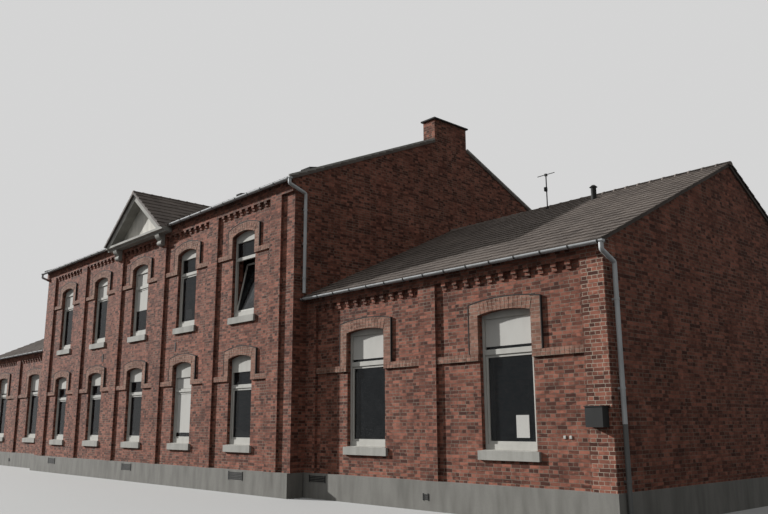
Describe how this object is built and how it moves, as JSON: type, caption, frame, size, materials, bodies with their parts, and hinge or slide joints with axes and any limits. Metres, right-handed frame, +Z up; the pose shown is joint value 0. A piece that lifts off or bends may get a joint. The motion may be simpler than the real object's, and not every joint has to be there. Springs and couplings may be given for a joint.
{
  "type": "brick village school building",
  "caption": "Brick school building with a two-storey middle block under a pediment between two single-storey classroom wings.",
  "frame": {"origin": "on the ground under the middle of the building's bounding box", "axes": "+X runs along the street front, to the right for someone facing it; +Y runs from the street front to the rear; +Z is up"},
  "size_m": [35.722, 13.8, 11.375],
  "materials": {
    "brick": "matte brick",
    "light_brick": "matte brick",
    "stone": "matte stone",
    "plinth_render": "matte render",
    "plaster": "matte plaster",
    "roof_tiles": "matte clay tiles",
    "floor_boards": "worn boards",
    "white_paint": "painted wood",
    "door_paint": "painted wood",
    "window_glass": "clear glass",
    "zinc": "weathered zinc",
    "dark_stone": "matte weathered stone",
    "grey_metal": "painted metal, dark grey"
  },
  "bodies": {
    "root": {"block_corbel_tables": "brick", "block_front_roof": "roof_tiles", "block_front_wall": "brick", "block_gable_walls": "brick", "block_gutters": "zinc", "block_rear_roof": "roof_tiles", "block_rear_wall": "brick", "block_window_frames": "white_paint", "block_window_glass": "window_glass", "block_window_hoods": "light_brick", "block_window_sashes": "white_paint", "block_window_sills": "stone", "chimney_caps": "dark_stone", "chimney_stacks": "brick", "downpipes": "zinc", "ground_floors": "floor_boards", "meter_cabinet": "grey_metal", "pediment_brackets": "stone", "pediment_cornice": "stone", "pediment_raking_cornices": "stone", "pediment_roof": "roof_tiles", "pediment_tympanum": "plaster", "plinth": "plinth_render", "rear_door_fanlight": "window_glass", "rear_door_frame": "white_paint", "rear_door_leaves": "door_paint", "rear_steps": "stone", "ridge_tiles": "roof_tiles", "roof_aerial": "grey_metal", "roof_vent_pipe": "grey_metal", "upper_floor": "floor_boards", "wing_corbel_tables": "brick", "wing_front_roofs": "roof_tiles", "wing_front_walls": "brick", "wing_gable_walls": "brick", "wing_gutters": "zinc", "wing_rear_roofs": "roof_tiles", "wing_rear_walls": "brick", "wing_window_frames": "white_paint", "wing_window_glass": "window_glass", "wing_window_hoods": "light_brick", "wing_window_sashes": "white_paint", "wing_window_sills": "stone"}
  },
  "joints": []
}
